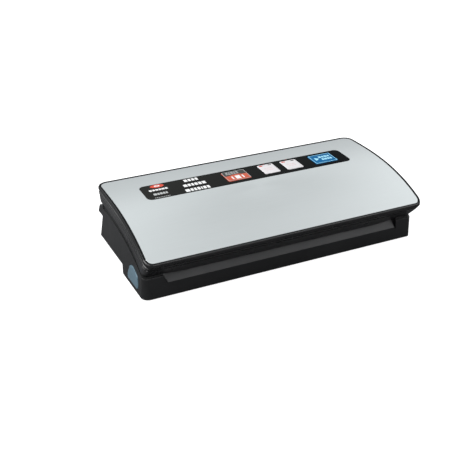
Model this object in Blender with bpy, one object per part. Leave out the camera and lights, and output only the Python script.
"""Vacuum sealer: a hinged, latched lid over a base that seals and evacuates bags.

Lengths are in millimetres and become metres through MM. They are measured from the
centre line (x), from the base's front face towards the rear (y) and from the lower
edge of the base's walls (z). The frame empty puts that corner into the world, with
the feet on z = 0 and the middle of the depth on y = 0.
"""

import math

import bmesh
import bpy
from mathutils import Matrix, Vector

MM = 0.001

# Overall form
DEPTH_MIDDLE = 74.4  # from the base's front face to the middle of the whole depth
FOOT_PROUD = 1.5  # the feet reach this far below the base's walls
GAP = 0.3  # between pieces that touch
WALL = 2.5

# Plans: half width, front, back, right and left front corner radius, back corner radius
RIM_PLAN = (194.0, -22.2, 164.3, 12.0, 12.0, 14.0)
SKIRT_PLAN = (191.6, 2.0, 164.0, 4.0, 6.0, 10.0)
PLATE_INSET = 4.0  # from the rim's edge to the metal plate's edge
TOP_BACK_HEIGHT = 90.9
TOP_DROP = 31.5  # how far the top falls from its back edge to its front edge
TOP_FRONT = -18.2
TOP_BACK = 160.1
PLATE_THICKNESS = 1.2

# Base plan, and the curved line where lid and base meet along the sides
# The walls lean inwards, so the base has one plan at its foot and one at its top.
FOOT_PLAN = (192.9, 0.0, 177.5, 3.5, 10.0, 6.0)
BASE_PLAN = (192.2, 0.0, 147.7, 3.5, 6.0, 6.0)
PARTING_FRONT = 30.0
PARTING_RISE = 37.0
PARTING_RUN = 156.0
PARTING_POWER = 2.9
PARTING_GAP = 0.4  # on each side of the parting line
BACK_BAND_TOP = 62.0
BACK_BAND_BOTTOM = 49.2
BACK_BAND_DEPTH = 171.0
BAND_END = 165.0  # beyond this the band's back leans, and it has no hollow behind it

# Front of the base
POST_INNER_LEFT = -163.0
POST_INNER_RIGHT = 168.6
POST_DEPTH = 12.0
POST_TOP = 29.5
LEDGE_FOOT = 19.0  # the ledge leaves the front face at this height
LEDGE_RUN = 9.5
GROOVE_WIDTH = 2.2

# Underside
STEP_DEPTH = 76.0  # behind this the side walls stop higher up
STEP_HEIGHT = 14.5
TRAY_HALF = 172.0
TRAY_BACK = 158.0
COVER_BOTTOM = 2.0
COVER_BACK = 166.8
FOOT_RADIUS = 9.0
FRONT_FEET = (160.0, 26.0)
REAR_FEET = (155.0, 140.0)
COVER_SCREWS = ((-140.0, 45.0), (140.0, 45.0), (-140.0, 148.0), (140.0, 148.0))

# Deck with its vacuum channel
DECK_FRONT = 12.4
DECK_TOP = 28.5
DECK_HALF = 189.2
DECK_BACK = 163.1
HOUSING_FRONT = 92.0
HOUSING_TOP = 58.0
CHANNEL = (156.0, 43.0, 75.0, 18.5)  # half width, front, back, floor
SEAL_LINE = 21.2  # centre of the sealing bar, from the front face

# Lid liner and seals
LINER_HALF = 184.0
LINER_FRONT = 8.2
LINER_STEP = 88.0
LINER_BACK = 156.3
LINER_FLOOR = 36.0
LINER_REAR_FLOOR = 61.5
GASKET_OUTER = (166.0, 34.0, 84.0, 9.0)  # half width, front, back, corner radius
GASKET_WIDTH = 6.0
GASKET_MEETING = 32.4
LID_SCREWS = ((-165.0, 100.0), (165.0, 100.0), (-60.0, 148.0), (60.0, 148.0))

# Hinge
HINGE_Y = 161.3
HINGE_Z = 66.5
HINGE_OFFSETS = {"left": -120.0, "right": 120.0}
PIN_RADIUS = 2.0
KNUCKLE_RADIUS = 3.8
KNUCKLE_HALF = 8.0
EAR_THICKNESS = 3.0

# Release latch, given for the right side and mirrored to the left
HOOK_X = (172.0, 175.0)
HOOK_Y = (36.0, 46.0)
HOOK_BOTTOM = 12.0
BARB = 2.0
CATCH_CLEARANCE = 0.4

# Control strip: left, right, front, back, corner radius
STRIP = (-149.0, 150.0, 86.5, 126.5, 7.0)
BUTTONS = {
    "stop_button": (-34.5, -1.0, 93.5, 121.0),
    "mode_button_left": (20.0, 43.5, 94.5, 122.0),
    "mode_button_right": (54.5, 79.0, 94.5, 121.5),
    "start_button": (98.5, 133.5, 94.0, 121.0),
}
BUTTON_GAP = 0.5
BUTTON_PROUD = 0.5
BUTTON_HEIGHT = 4.0
BUTTON_TILT = math.atan(0.047)  # the top's slope under the strip
LAMPS = {"lamp_lens_left": (31.7, 124.3), "lamp_lens_right": (66.7, 124.3)}
BOARD_Z = 78.0

# Machinery in the base
PUMP_Y = 125.0
PUMP_Z = 30.0
PORT = (60.0, 59.0)
INLET = (-120.0, 31.0)  # centre of the appliance inlet on the rear wall, x and z
INLET_FACE = 169.0  # a block on the leaning rear wall gives the inlet an upright face
INLET_BLOCK = (15.5, 10.5)  # its half width and half height

COLOURS = {
    # name: colour, roughness, metallic
    "black_plastic": ((0.028, 0.03, 0.032), 0.42, 0.0),
    "satin_steel": ((0.62, 0.66, 0.67), 0.32, 1.0),
    "gloss_black": ((0.006, 0.007, 0.006), 0.12, 0.0),
    "red_plastic": ((0.72, 0.1, 0.04), 0.35, 0.0),
    "white_plastic": ((0.82, 0.8, 0.82), 0.35, 0.0),
    "blue_plastic": ((0.03, 0.22, 0.5), 0.35, 0.0),
    "tinted_plastic": ((0.12, 0.2, 0.27), 0.25, 0.0),
    "black_rubber": ((0.02, 0.02, 0.02), 0.85, 0.0),
    "grey_foam": ((0.16, 0.16, 0.17), 0.95, 0.0),
    "red_silicone": ((0.5, 0.06, 0.04), 0.6, 0.0),
    "steel": ((0.5, 0.5, 0.5), 0.3, 1.0),
    "brass": ((0.8, 0.6, 0.25), 0.3, 1.0),
    "ptfe_cloth": ((0.35, 0.24, 0.14), 0.6, 0.0),
    "green_board": ((0.02, 0.16, 0.06), 0.5, 0.0),
    "grey_plastic": ((0.25, 0.26, 0.28), 0.5, 0.0),
    "clear_hose": ((0.6, 0.62, 0.6), 0.3, 0.0),
}

pivots = {}
pivot_places = {}


# ---------------------------------------------------------------- scene helpers


def clear_scene():
    for obj in list(bpy.data.objects):
        bpy.data.objects.remove(obj)


def new_collection(name):
    collection = bpy.data.collections.new(name)
    bpy.context.scene.collection.children.link(collection)
    return collection


def make_materials():
    made = {}
    for name, (colour, roughness, metallic) in COLOURS.items():
        material = bpy.data.materials.new(name)
        material.use_nodes = True
        shader = material.node_tree.nodes["Principled BSDF"]
        shader.inputs["Base Color"].default_value = (*colour, 1.0)
        shader.inputs["Roughness"].default_value = roughness
        shader.inputs["Metallic"].default_value = metallic
        made[name] = material
    return made


def make_pivot(name, place, parent=None):
    """An empty on a joint's axis; the pieces that move there are its children."""
    pivot = bpy.data.objects.new(name, None)
    pivot.empty_display_size = 0.02
    parts.objects.link(pivot)
    place = Vector(place)
    if parent:
        pivot.parent = pivots[parent]
        pivot.location = (place - pivot_places[parent]) * MM
    else:
        pivot.location = (place + Vector((0, -DEPTH_MIDDLE, FOOT_PROUD))) * MM
    pivots[name] = pivot
    pivot_places[name] = place


def mount(obj, pivot):
    obj.parent = pivots[pivot]
    obj.location = -pivot_places[pivot] * MM


def piece(obj, name, material, pivot="frame"):
    """Names a finished shape as a part of the sealer and gives it its material."""
    obj.name = name
    obj.data.materials.clear()
    obj.data.materials.append(materials[material])
    obj.data.shade_smooth()
    obj.data.set_sharp_from_angle(angle=math.radians(32))
    mount(obj, pivot)
    return obj


def helper(obj):
    """Takes a shape out of the parts: it only cuts or joins another."""
    parts.objects.unlink(obj)
    cutters.objects.link(obj)
    obj.hide_render = True
    obj.display_type = "WIRE"
    mount(obj, "frame")


def boolean(obj, other, operation):
    helper(other)
    modifier = obj.modifiers.new(operation.lower(), "BOOLEAN")
    modifier.operation = operation
    modifier.solver = "EXACT"
    modifier.object = other
    return obj


def cut(obj, *others):
    for other in others:
        boolean(obj, other, "DIFFERENCE")
    return obj


def fuse(obj, *others):
    for other in others:
        boolean(obj, other, "UNION")
    return obj


def keep(obj, other):
    return boolean(obj, other, "INTERSECT")


# ---------------------------------------------------------------- shape helpers


def object_from(bm):
    mesh = bpy.data.meshes.new("shape")
    bm.to_mesh(mesh)
    bm.free()
    obj = bpy.data.objects.new("shape", mesh)
    parts.objects.link(obj)
    return obj


def box(x, y, z):
    """A block between two values on each axis."""
    bm = bmesh.new()
    bmesh.ops.create_cube(bm, size=1.0)
    low = Vector((x[0], y[0], z[0]))
    high = Vector((x[1], y[1], z[1]))
    scale = Matrix.Diagonal((high - low) * MM).to_4x4()
    bm.transform(Matrix.Translation((low + high) / 2 * MM) @ scale)
    return object_from(bm)


def rod(centre, radius, length, axis, sides=20):
    """A cylinder about a point, along x, y or z."""
    bm = bmesh.new()
    bmesh.ops.create_cone(
        bm,
        cap_ends=True,
        segments=sides,
        radius1=radius * MM,
        radius2=radius * MM,
        depth=length * MM,
    )
    turn = {
        "x": Matrix.Rotation(math.pi / 2, 4, "Y"),
        "y": Matrix.Rotation(math.pi / 2, 4, "X"),
        "z": Matrix.Identity(4),
    }[axis]
    bm.transform(Matrix.Translation(Vector(centre) * MM) @ turn)
    return object_from(bm)


def mesh_of(curve, matrix):
    """A curve object made into a welded mesh that carries its own placement."""
    obj = bpy.data.objects.new("curve", curve)
    parts.objects.link(obj)
    bpy.context.view_layer.update()
    graph = bpy.context.evaluated_depsgraph_get()
    mesh = bpy.data.meshes.new_from_object(obj.evaluated_get(graph))
    bpy.data.objects.remove(obj)
    bm = bmesh.new()
    bm.from_mesh(mesh)
    bmesh.ops.remove_doubles(bm, verts=bm.verts, dist=1e-6)
    bm.transform(matrix)
    bmesh.ops.recalc_face_normals(bm, faces=bm.faces)
    return object_from(bm)


def extruded(outlines, low, high, matrix):
    """Flat outlines (the first one filled, the others holes) given a thickness."""
    curve = bpy.data.curves.new("outline", "CURVE")
    curve.dimensions = "2D"
    curve.fill_mode = "BOTH"
    curve.extrude = (high - low) / 2 * MM
    for outline in outlines:
        spline = curve.splines.new("POLY")
        spline.points.add(len(outline) - 1)
        for point, (u, v) in zip(spline.points, outline):
            point.co = (u * MM, v * MM, 0.0, 1.0)
        spline.use_cyclic_u = True
    lift = Matrix.Translation((0, 0, (low + high) / 2 * MM))
    return mesh_of(curve, matrix @ lift)


def upright(outlines, low, high):
    """A plan outline (x, y) given height."""
    return extruded(outlines, low, high, Matrix.Identity(4))


def crosswise(outlines, low, high):
    """A side outline (y, z) run from one x to another."""
    turn = Matrix(((0, 0, 1, 0), (1, 0, 0, 0), (0, 1, 0, 0), (0, 0, 0, 1)))
    return extruded(outlines, low, high, turn)


def tube(points, radius, sides=2):
    curve = bpy.data.curves.new("tube", "CURVE")
    curve.dimensions = "3D"
    curve.bevel_depth = radius * MM
    curve.bevel_resolution = sides
    curve.use_fill_caps = True
    spline = curve.splines.new("POLY")
    spline.points.add(len(points) - 1)
    for point, place in zip(spline.points, points):
        point.co = (*(Vector(place) * MM), 1.0)
    return mesh_of(curve, Matrix.Identity(4))


def rectangle(left, right, front, back):
    return [(left, front), (right, front), (right, back), (left, back)]


def rounded(corners, radii, steps=5):
    """An outline whose corners are arcs. One radius for all, or one for each."""
    if not isinstance(radii, (list, tuple)):
        radii = [radii] * len(corners)
    outline = []
    for i, radius in enumerate(radii):
        corner = Vector(corners[i])
        if radius == 0:
            outline.append(tuple(corner))
            continue
        before = (Vector(corners[i - 1]) - corner).normalized()
        after = (Vector(corners[(i + 1) % len(corners)]) - corner).normalized()
        half = before.angle(after) / 2
        middle = corner + (before + after).normalized() * radius / math.sin(half)
        start = corner + before * radius / math.tan(half) - middle
        end = corner + after * radius / math.tan(half) - middle
        turn = start.angle_signed(end)
        for k in range(steps + 1):
            arm = start.copy()
            arm.rotate(Matrix.Rotation(-turn * k / steps, 2))
            outline.append(tuple(middle + arm))
    return outline


def plan_loop(plan, inset=0.0, corner_steps=6, side_steps=12):
    """Points round a plan with rounded corners, always the same number."""
    half, front, back = plan[0] - inset, plan[1] + inset, plan[2] - inset
    right_radius, left_radius, back_radius = (max(r - inset, 0.8) for r in plan[3:])
    corners = (
        (half - right_radius, front + right_radius, right_radius, -90),
        (half - back_radius, back - back_radius, back_radius, 0),
        (-half + back_radius, back - back_radius, back_radius, 90),
        (-half + left_radius, front + left_radius, left_radius, 180),
    )
    loop = []
    for i, (x, y, radius, start) in enumerate(corners):
        for k in range(corner_steps + 1):
            angle = math.radians(start + 90 * k / corner_steps)
            loop.append((x + radius * math.cos(angle), y + radius * math.sin(angle)))
        if i in (0, 2):
            end_y = corners[i + 1][1]
            for k in range(1, side_steps):
                loop.append((loop[-k][0], y + (end_y - y) * k / side_steps))
    return loop


def ring_loft(loops):
    """A closed band: loops of points round the plan, joined one to the next."""
    bm = bmesh.new()
    rings = [[bm.verts.new(Vector(p) * MM) for p in loop] for loop in loops]
    for i, ring in enumerate(rings):
        following = rings[(i + 1) % len(rings)]
        for j in range(len(ring)):
            k = (j + 1) % len(ring)
            bm.faces.new((ring[j], ring[k], following[k], following[j]))
    bmesh.ops.recalc_face_normals(bm, faces=bm.faces)
    return object_from(bm)


def top_z(y):
    """Height of the lid's top: a cubic that falls away towards the front."""
    t = min(max((y - TOP_FRONT) / (TOP_BACK - TOP_FRONT), 0.0), 1.0)
    return TOP_BACK_HEIGHT - TOP_DROP * (1 - t) ** 3


def parting_z(y):
    """Height of the line where lid and base meet, at this depth."""
    t = min(max(y / PARTING_RUN, 0.0), 1.0)
    return PARTING_FRONT + PARTING_RISE * (1 - (1 - t) ** PARTING_POWER)


def sheet_under_top(outline, above, below):
    """A sheet that follows the lid's top, trimmed to a plan outline."""
    depths = [TOP_FRONT - 4 + 7.8 * i for i in range(25)]
    upper = [(y, top_z(y) + above) for y in depths]
    lower = [(y, top_z(y) - below) for y in reversed(depths)]
    sheet = crosswise([upper + lower], -200, 200)
    return keep(sheet, upright([outline], 40, 110))


# ---------------------------------------------------------------- base


def front_ledge():
    """The sloped edge that a bag slides over, with a lip that tucks behind the front wall."""
    top = DECK_TOP
    lip_front = WALL + GAP
    lip_back = lip_front + 2.0
    side = [
        (0.0, LEDGE_FOOT),
        (LEDGE_RUN, top),
        (POST_DEPTH, top),
        (POST_DEPTH, top - 3.0),
        (lip_back, LEDGE_FOOT - 0.7),
        (lip_back, LEDGE_FOOT - 8.0),
        (lip_front, LEDGE_FOOT - 8.0),
        (lip_front, LEDGE_FOOT),
    ]
    ledge = crosswise([side], POST_INNER_LEFT + GAP, POST_INNER_RIGHT - GROOVE_WIDTH)
    return piece(ledge, "front_ledge", "black_plastic")


def base_post(side):
    """A front corner post, solid, with the base's corner radius outside."""
    inside = 0.3  # kept within the wall, so that the wall is the outer surface
    edge = BASE_PLAN[0] - inside
    if side == "left":
        corners = rectangle(-edge, POST_INNER_LEFT, inside, POST_DEPTH)
        radii = [FOOT_PLAN[4] - 0.8, 0, 0, 0]
    else:
        groove_left = POST_INNER_RIGHT - GROOVE_WIDTH + GAP
        corners = [
            (POST_INNER_RIGHT, inside),
            (edge, inside),
            (edge, POST_DEPTH),
            (groove_left, POST_DEPTH),
            (groove_left, 5.0),
            (POST_INNER_RIGHT, 5.0),
        ]
        radii = [0, FOOT_PLAN[3] - 0.4, 0, 0, 0, 0]
    return upright([rounded(corners, radii)], 0.02, POST_TOP)


def release_outline(grow=0.0):
    """Side outline (y, z) of the release button, with one slanted back."""
    corners = [
        (17.0 - grow, 6.8 - grow),
        (55.6 + grow, 6.8 - grow),
        (54.4 + grow, 13.0 + grow),
        (42.8 + grow * 0.6, 29.6 + grow),
        (33.0, 32.8 + grow),
        (17.0 - grow, 26.0 + grow),
    ]
    return rounded(corners, [6, 2, 4, 6, 9, 5], steps=4)


def base_shell():
    outer = plan_loop(BASE_PLAN)
    inner = plan_loop(BASE_PLAN, WALL)
    tops = [parting_z(y) - PARTING_GAP for _, y in outer]
    shell = ring_loft(
        [
            [(x, y, 0.0) for x, y in plan_loop(FOOT_PLAN)],
            [(x, y, z) for (x, y), z in zip(outer, tops)],
            [(x, y, z) for (x, y), z in zip(inner, tops)],
            [(x, y, 0.0) for x, y in plan_loop(FOOT_PLAN, WALL)],
        ]
    )
    half = BASE_PLAN[0] - 0.2
    band_plan = rounded(rectangle(-half, half, 146, BACK_BAND_DEPTH), [0, 0, 3, 3])
    band = upright([band_plan], BACK_BAND_BOTTOM, BACK_BAND_TOP + 1)
    half = BASE_PLAN[0] - WALL - 0.2
    hollow = rectangle(-half, half, 140, 156.8)
    deep_half = BAND_END - WALL
    deep_hollow = rectangle(-deep_half, deep_half, 141, BACK_BAND_DEPTH - WALL)
    # A wedge (y, z) that takes the corner off each end of the band.
    lean = [(159.9, 63.5), (190.0, 63.5), (190.0, 47.0), (171.3, 47.0)]
    front = (POST_INNER_LEFT + 0.2, POST_INNER_RIGHT - 0.2)
    fuse(shell, band)
    cut(
        shell,
        box((-200, 200), (157.5, 180), (BACK_BAND_TOP, 90)),
        upright([hollow], BACK_BAND_BOTTOM + WALL, 90),
        upright([deep_hollow], BACK_BAND_BOTTOM + WALL + 0.1, 91),
        crosswise([lean], -200, -BAND_END),
        crosswise([lean], BAND_END, 200),
        box((-200, 200), (STEP_DEPTH, 200), (-5, STEP_HEIGHT)),
        box(front, (-1, 4), (LEDGE_FOOT - GAP, 40)),
    )
    fuse(shell, base_post("left"), base_post("right"))
    for low, high in ((-195, -180), (180, 195)):
        cut(shell, crosswise([release_outline(0.4)], low, high))
    x, z = INLET
    block_half, block_rise = INLET_BLOCK
    fuse(
        shell,
        box(
            (x - block_half, x + block_half),
            (157.5, INLET_FACE),
            (z - block_rise, z + block_rise),
        ),
    )
    cut(shell, box((x - 11, x + 11), (150, 185), (z - 7, z + 7)))
    return piece(shell, "base_shell", "black_plastic")


def base_deck():
    side = [
        (DECK_FRONT, DECK_TOP - WALL),
        (DECK_FRONT, DECK_TOP),
        (HOUSING_FRONT, DECK_TOP),
        (HOUSING_FRONT, HOUSING_TOP),
        (DECK_BACK, HOUSING_TOP),
        (DECK_BACK, HOUSING_TOP - WALL),
        (HOUSING_FRONT + WALL, HOUSING_TOP - WALL),
        (HOUSING_FRONT + WALL, DECK_TOP - WALL),
    ]
    plan = rounded(rectangle(-DECK_HALF, DECK_HALF, 0, DECK_BACK), [0, 0, 9, 9])
    deck = keep(crosswise([side], -195, 195), upright([plan], 0, 80))
    half, front, back, floor = CHANNEL
    rim = WALL
    fuse(
        deck,
        box((-half - rim, half + rim), (front - rim, back + rim), (floor - rim, DECK_TOP - 0.5)),
    )
    channel = rounded(rectangle(-half, half, front, back), 6)
    cut(deck, upright([channel], floor, DECK_TOP + 5))
    cut(deck, rod((*PORT, floor - 1), 2.9, 6, "z"))
    for sign in (-1, 1):
        slot = sorted((sign * (HOOK_X[0] - BARB - 1.4), sign * (HOOK_X[1] + 1.4)))
        cut(deck, box(slot, (HOOK_Y[0] - 7.5, HOOK_Y[1] + 0.8), (20, 35)))
        notch = sorted((sign * 184.4, sign * 200))
        cut(deck, box(notch, (14.2, 60), (20, 35)))
        corner = sorted((sign * (BAND_END - WALL - 0.5), sign * 200))
        cut(deck, box(corner, (156.3, 170), (50, 60)))
    for hinge_x in HINGE_OFFSETS.values():
        for y in (146, 153):
            cut(deck, rod((hinge_x, y, HOUSING_TOP), 1.2, 12, "z", 12))
    return piece(deck, "base_deck", "black_plastic")


def bottom_cover():
    low, high = COVER_BOTTOM, COVER_BOTTOM + WALL
    flange_top = STEP_HEIGHT + 2.8
    cover = box((-DECK_HALF, DECK_HALF), (2.9, 75.7), (low, high))
    back_plan = rounded(rectangle(-DECK_HALF, DECK_HALF, 73.2, COVER_BACK), [0, 0, 6, 6])
    fuse(
        cover,
        box((-DECK_HALF, DECK_HALF), (73.2, 75.7), (low, flange_top)),
        upright([back_plan], STEP_HEIGHT + 0.3, flange_top),
        box((-TRAY_HALF, TRAY_HALF), (74, TRAY_BACK), (low, flange_top)),
    )
    inside = TRAY_HALF - WALL
    cut(cover, box((-inside, inside), (70, TRAY_BACK - WALL), (high, 30)))
    for sign in (-1, 1):
        corner = sorted((sign * (-POST_INNER_LEFT - 1.6), sign * 200))
        cut(cover, box(corner, (0, POST_DEPTH + 0.4), (-5, 30)))
        notch = sorted((sign * 181.5, sign * 200))
        cut(cover, box(notch, (14.2, 60), (-5, 10)))
        rib = sorted((sign * 147.0, sign * 149.5))
        fuse(cover, box(rib, (37, 45), (high - 0.5, 15.6)))
    for x, y in COVER_SCREWS:
        cut(cover, rod((x, y, low), 1.9, 10, "z", 12))
    return piece(cover, "bottom_cover", "black_plastic")


def feet():
    for row, (x, y) in (("front", FRONT_FEET), ("rear", REAR_FEET)):
        for side, sign in (("left", -1), ("right", 1)):
            height = FOOT_PROUD + COVER_BOTTOM - GAP
            middle = -FOOT_PROUD + height / 2
            foot = rod((sign * x, y, middle), FOOT_RADIUS, height, "z", 28)
            piece(foot, f"foot_{row}_{side}", "black_rubber")


def screw(place, head_radius, head_height, shank_radius, shank_length):
    """A screw driven upwards; place is the middle of its head's upper face."""
    x, y, z = place
    head = rod((x, y, z - head_height / 2), head_radius, head_height, "z", 16)
    shank = rod((x, y, z + shank_length / 2 - 0.2), shank_radius, shank_length, "z", 12)
    drive = (
        box((x - 1.6, x + 1.6), (y - 0.4, y + 0.4), (z - head_height - 1, z - head_height + 0.8)),
        box((x - 0.4, x + 0.4), (y - 1.6, y + 1.6), (z - head_height - 1, z - head_height + 0.8)),
    )
    return cut(fuse(head, shank), *drive)


def cover_screws():
    for i, (x, y) in enumerate(COVER_SCREWS):
        made = screw((x, y, COVER_BOTTOM - GAP), 3.2, 1.5, 1.4, 9.0)
        piece(made, f"cover_screw_{i + 1}", "steel")


def gasket(name, low, high, pivot):
    half, front, back, radius = GASKET_OUTER
    width = GASKET_WIDTH
    outer = rounded(rectangle(-half, half, front, back), radius)
    inner = rounded(
        rectangle(-half + width, half - width, front + width, back - width), radius - width
    )
    piece(upright([outer, inner], low, high), name, "grey_foam", pivot)


def sealing_bar():
    line = SEAL_LINE
    bar = box((-160, 160), (line - 6, line + 6), (DECK_TOP + GAP, DECK_TOP + 2.1))
    piece(bar, "heater_bar", "grey_plastic")
    wire_low = DECK_TOP + 2.1 + GAP
    wire = box((-158, 158), (line - 1.3, line + 1.3), (wire_low, wire_low + 0.3))
    piece(wire, "heating_wire", "steel")
    tape_low = wire_low + 0.3 + GAP
    tape = box((-159, 159), (line - 4.5, line + 4.5), (tape_low, tape_low + 0.25))
    piece(tape, "ptfe_tape", "ptfe_cloth")


def suction_port():
    x, y = PORT
    floor = CHANNEL[3]
    flange = rod((x, y, floor + 1.2), 6.0, 1.8, "z", 24)
    stem = rod((x, y, floor - 2.7), 2.4, 8.0, "z", 16)
    port = cut(fuse(flange, stem), rod((x, y, floor), 1.3, 30, "z", 12))
    piece(port, "suction_port", "grey_plastic")
    hose_points = [
        (x, y, floor - 7.1),
        (x, y, floor - 8.4),
        (x + 0.4, y + 1.2, 8.6),
        (x + 1.4, y + 4.2, 7.8),
        (x + 5, y + 16, 8.0),
        (x + 14, y + 30, 9.0),
        (x + 26, y + 38, 12.5),
        (x + 32, y + 42, 17.0),
        (x + 34, y + 45, 19.8),
        (x + 34, 107.6, 20.0),
    ]
    piece(tube(hose_points, 2.4), "air_hose", "clear_hose")


def pump():
    y, z = PUMP_Y, PUMP_Z
    motor = rod((52.0, y, z), 13.5, 46.0, "x", 28)
    fuse(motor, rod((28.0, y, z), 5.0, 6.0, "x", 20))
    cut(motor, rod((70.0, y, z), 2.2, 24.0, "x", 16))
    piece(motor, "pump_motor", "steel")
    head = box((79, 112), (108, 142), (12, 50))
    cut(head, rod((88.0, y, z), 13.0, 24.0, "x", 24))
    piece(head, "pump_head", "grey_plastic")
    crank = rod((75.0, y, z), 1.6, 22.0, "x", 16)
    fuse(crank, rod((86.0, y, z), 9.0, 5.0, "x", 24), rod((91.0, y, z + 4.5), 2.5, 7.0, "x", 14))
    piece(crank, "pump_crank", "steel", "pump_axis")


def electrics():
    board = box((-125, -45), (100, 150), (8, 9.6))
    fuse(
        board,
        box((-118, -98), (106, 122), (9, 24)),
        rod((-80, 132, 18), 8.0, 18.0, "z", 20),
        box((-66, -50), (104, 126), (9, 20)),
    )
    piece(board, "power_board", "green_board")
    core = box((-32, 12), (110, 144), (5.2, 41))
    cut(core, box((-24, -18), (100, 150), (12, 34)), box((-2, 4), (100, 150), (12, 34)))
    piece(core, "transformer", "steel")
    switch = box((150, 162), (104, 118), (42, 54))
    fuse(switch, box((154, 158), (109, 113), (50, 55)))
    piece(switch, "lid_microswitch", "grey_plastic")


def appliance_inlet():
    x, z = INLET
    body = box((x - 10.5, x + 10.5), (151, INLET_FACE + 1), (z - 6.5, z + 6.5))
    fuse(body, box((x - 14, x + 14), (INLET_FACE + GAP, INLET_FACE + 2), (z - 9, z + 9)))
    socket = rounded(rectangle(x - 9, x + 9, z - 4.4, z + 4.4), 4.3)
    # The outline's plane is turned to face the rear.
    turn = Matrix(((1, 0, 0, 0), (0, 0, -1, 0), (0, 1, 0, 0), (0, 0, 0, 1)))
    cut(body, extruded([socket], -183, -155, turn))
    piece(body, "appliance_inlet", "black_plastic")
    for side, sign in (("left", -1), ("right", 1)):
        pin = rod((x + sign * 4.4, 160.0, z), 1.2, 9.4, "y", 12)
        piece(pin, f"inlet_pin_{side}", "brass")


# ---------------------------------------------------------------- hinge


def hinge_side(side, x):
    ear_inner = KNUCKLE_HALF + 0.6
    ear_outer = ear_inner + EAR_THICKNESS
    foot_low = HOUSING_TOP + GAP
    bracket = box((x - ear_outer, x + ear_outer), (141, 165), (foot_low, foot_low + 1.8))
    for low, high in ((-ear_outer, -ear_inner), (ear_inner, ear_outer)):
        upstand = box((x + low, x + high), (HINGE_Y - 3.7, 165), (foot_low + 1, HINGE_Z))
        crown = rod((x + (low + high) / 2, HINGE_Y, HINGE_Z), 3.7, EAR_THICKNESS, "x", 20)
        fuse(bracket, upstand, crown)
    cut(bracket, rod((x, HINGE_Y, HINGE_Z), PIN_RADIUS + 0.3, 40, "x", 20))
    piece(bracket, f"hinge_bracket_{side}", "steel")
    pin = rod((x, HINGE_Y, HINGE_Z), PIN_RADIUS, 2 * ear_outer + 1.6, "x", 20)
    piece(pin, f"hinge_pin_{side}", "steel")
    knuckle = rod((x, HINGE_Y, HINGE_Z), KNUCKLE_RADIUS, 2 * KNUCKLE_HALF, "x", 24)
    arm = box((x - 7.5, x + 7.5), (LINER_BACK + 1, HINGE_Y), (HINGE_Z - 2, HINGE_Z + 2))
    plate = box(
        (x - 7, x + 7), (LINER_BACK + GAP, LINER_BACK + 1.6), (HINGE_Z - 3, HINGE_Z + 13)
    )
    fuse(knuckle, arm, plate)
    cut(knuckle, rod((x, HINGE_Y, HINGE_Z), PIN_RADIUS + 0.3, 40, "x", 20))
    piece(knuckle, f"lid_knuckle_{side}", "steel", "lid_axis")


# ---------------------------------------------------------------- lid


def lid_frame():
    """The rim that holds the plate, and the skirt that tapers down to the base."""

    def rim(inset, drop):
        heights_from = plan_loop(RIM_PLAN, inset)
        return [(x, y, top_z(max(y, TOP_FRONT)) - drop) for x, y in heights_from]

    def skirt(inset, rise):
        return [
            (x, y, parting_z(y) + PARTING_GAP + rise) for x, y in plan_loop(SKIRT_PLAN, inset)
        ]

    edge = PLATE_INSET - GAP
    shelf = PLATE_INSET + 6
    seat = PLATE_THICKNESS + 0.5
    frame = ring_loft(
        [
            rim(edge, 0.2),
            rim(0, 2.6),
            rim(0, 4.6),
            skirt(0, 0),
            skirt(5.5, 0),
            skirt(5.5, WALL),
            skirt(WALL, WALL),
            rim(shelf - 3, 4.6),
            rim(shelf, 4.6),
            rim(shelf, seat),
            rim(edge, seat),
        ]
    )
    clear = KNUCKLE_HALF + EAR_THICKNESS + 2.8
    for x in HINGE_OFFSETS.values():
        cut(frame, box((x - clear, x + clear), (150, 175), (60, HINGE_Z + 6)))
    return piece(frame, "lid_frame", "black_plastic", "lid_axis")


def strip_outline(grow=0.0):
    left, right, front, back, radius = STRIP
    return rounded(
        rectangle(left - grow, right + grow, front - grow, back + grow), radius + grow
    )


def top_plate():
    outline = plan_loop(RIM_PLAN, PLATE_INSET, side_steps=1)
    plate = sheet_under_top(outline, 0.0, PLATE_THICKNESS)
    cut(plate, upright([strip_outline(GAP)], 60, 110))
    return piece(plate, "top_plate", "satin_steel", "lid_axis")


def control_panel():
    panel = sheet_under_top(strip_outline(), 0.2, PLATE_THICKNESS + 0.6)
    for left, right, front, back in BUTTONS.values():
        grow = BUTTON_GAP
        hole = rectangle(left - grow, right + grow, front - grow, back + grow)
        cut(panel, upright([rounded(hole, 2.4)], 60, 110))
    for x, y in LAMPS.values():
        cut(panel, rod((x, y, 90), 1.2, 20, "z", 16))
    return piece(panel, "control_panel", "gloss_black", "lid_axis")


def button_caps():
    looks = {
        "stop_button": "red_plastic",
        "mode_button_left": "white_plastic",
        "mode_button_right": "white_plastic",
        "start_button": "blue_plastic",
    }
    for name, (left, right, front, back) in BUTTONS.items():
        middle = Vector(((left + right) / 2, (front + back) / 2, 0.0))
        middle.z = top_z(middle.y)
        outline = rounded(rectangle(left, right, front, back), 2.0)
        top = middle.z + BUTTON_PROUD
        cap = upright([outline], top - BUTTON_HEIGHT, top)
        tilt = Matrix.Rotation(BUTTON_TILT, 4, "X")
        shift = Matrix.Translation(middle * MM)
        cap.data.transform(shift @ tilt @ shift.inverted())
        make_pivot(name + "_axis", middle, "lid_axis")
        piece(cap, name, looks[name], name + "_axis")


def lamp_lenses():
    for name, (x, y) in LAMPS.items():
        lens = rod((x, y, top_z(y) - 1.6), 0.85, 4.0, "z", 14)
        piece(lens, name, "red_plastic", "lid_axis")


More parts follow.
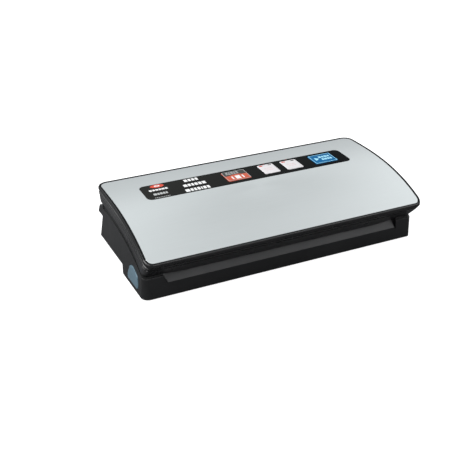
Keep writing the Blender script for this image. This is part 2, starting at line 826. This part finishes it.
def lid_liner():
    def hollow(inset, lift):
        """Side outline of the liner, or of the space inside it."""
        return [
            (LINER_FRONT + inset, LINER_FLOOR + inset),
            (LINER_STEP - inset, LINER_FLOOR + inset),
            (LINER_STEP - inset, LINER_REAR_FLOOR + inset),
            (LINER_BACK - inset, LINER_REAR_FLOOR + inset),
            (LINER_BACK - inset, 80 + lift),
            (LINER_STEP, 78 + lift),
            (40, 70 + lift),
            (LINER_FRONT + inset, 56 + lift),
        ]

    def shape(inset, lift):
        half = LINER_HALF - inset
        plan = rectangle(-half, half, LINER_FRONT + inset, LINER_BACK - inset)
        block = crosswise([hollow(inset, lift)], -half - 1, half + 1)
        return keep(block, upright([rounded(plan, 8.5 - inset)], 20, 100))

    liner = cut(shape(0, 0), shape(WALL, 9))
    for x, y in LID_SCREWS:
        cut(liner, rod((x, y, LINER_REAR_FLOOR), 1.9, 10, "z", 12))
    return piece(liner, "lid_liner", "black_plastic", "lid_axis")


def lid_screws():
    for i, (x, y) in enumerate(LID_SCREWS):
        made = screw((x, y, LINER_REAR_FLOOR - GAP), 3.0, 1.4, 1.4, 11.0)
        piece(made, f"lid_screw_{i + 1}", "steel", "lid_axis")


def pressure_bar():
    line = SEAL_LINE
    bar = box((-160, 160), (line - 4.5, line + 4.5), (GASKET_MEETING - 0.2, LINER_FLOOR - GAP))
    fuse(bar, box((-160, 160), (line - 2, line + 2), (GASKET_MEETING - 0.5, GASKET_MEETING)))
    piece(bar, "seal_pressure_bar", "red_silicone", "lid_axis")


def control_board():
    board = box((-142, 143), (89, 125), (BOARD_Z, BOARD_Z + 1.6))
    for left, right, _, _ in BUTTONS.values():
        middle = (left + right) / 2
        fuse(board, box((middle - 3, middle + 3), (104, 110), (BOARD_Z + 1, BOARD_Z + 7.0)))
    piece(board, "control_board", "green_board", "lid_axis")


def latch(side, sign):
    """A hook on the lid, and the catch and button that slide inwards to free it."""

    def across(low, high):
        return sorted((sign * low, sign * high))

    hook = box(across(*HOOK_X), HOOK_Y, (HOOK_BOTTOM, LINER_FLOOR - GAP))
    barb = across(HOOK_X[0] - BARB, HOOK_X[0] + 0.5)
    fuse(hook, box(barb, HOOK_Y, (HOOK_BOTTOM, HOOK_BOTTOM + 4)))
    fuse(hook, box(across(169, 178), (33, 49), (LINER_FLOOR - 2.3, LINER_FLOOR - GAP)))
    piece(hook, f"latch_hook_{side}", "black_plastic", "lid_axis")

    body = f"release_{side}_axis"
    make_pivot(body, (sign * BASE_PLAN[0], 41.0, 15.0))
    cap = crosswise([release_outline()], *across(188.9, 193.8))
    fuse(cap, crosswise([rounded(rectangle(15.2, 58.6, 5, 25), 3)], *across(187.7, 189.2)))
    piece(cap, f"release_button_{side}", "tinted_plastic", body)

    nose_tip = HOOK_X[0] - BARB - CATCH_CLEARANCE
    catch = box(across(164, 187.4), (37, 45), (6.0, 9.0))
    fuse(
        catch,
        box(across(164, 167), (37, 45), (6.5, 20)),
        box(across(166, nose_tip), (37, 45), (16.6, 20)),
    )
    piece(catch, f"release_catch_{side}", "black_plastic", body)

    turns, points_per_turn = 5, 10
    start, end, radius = 150.2, 163.3, 2.8
    points = []
    for i in range(turns * points_per_turn + 1):
        angle = 2 * math.pi * i / points_per_turn
        x = start + (end - start) * i / (turns * points_per_turn)
        points.append((sign * x, 41 + radius * math.cos(angle), 12 + radius * math.sin(angle)))
    piece(tube(points, 0.4, 1), f"release_spring_{side}", "steel")


def build():
    make_pivot("frame", (0, 0, 0))
    make_pivot("lid_axis", (0, HINGE_Y, HINGE_Z), "frame")
    make_pivot("pump_axis", (75.0, PUMP_Y, PUMP_Z), "frame")
    base_shell()
    front_ledge()
    base_deck()
    bottom_cover()
    feet()
    cover_screws()
    gasket("lower_gasket", DECK_TOP + GAP, GASKET_MEETING - 0.15, "frame")
    sealing_bar()
    suction_port()
    pump()
    electrics()
    appliance_inlet()
    for side, x in HINGE_OFFSETS.items():
        hinge_side(side, x)
    lid_frame()
    top_plate()
    control_panel()
    button_caps()
    lamp_lenses()
    lid_liner()
    lid_screws()
    gasket("upper_gasket", GASKET_MEETING + 0.15, LINER_FLOOR - GAP, "lid_axis")
    pressure_bar()
    control_board()
    for side, sign in (("left", -1), ("right", 1)):
        latch(side, sign)


clear_scene()
parts = new_collection("vacuum_sealer")
cutters = new_collection("cutters")
materials = make_materials()
build()
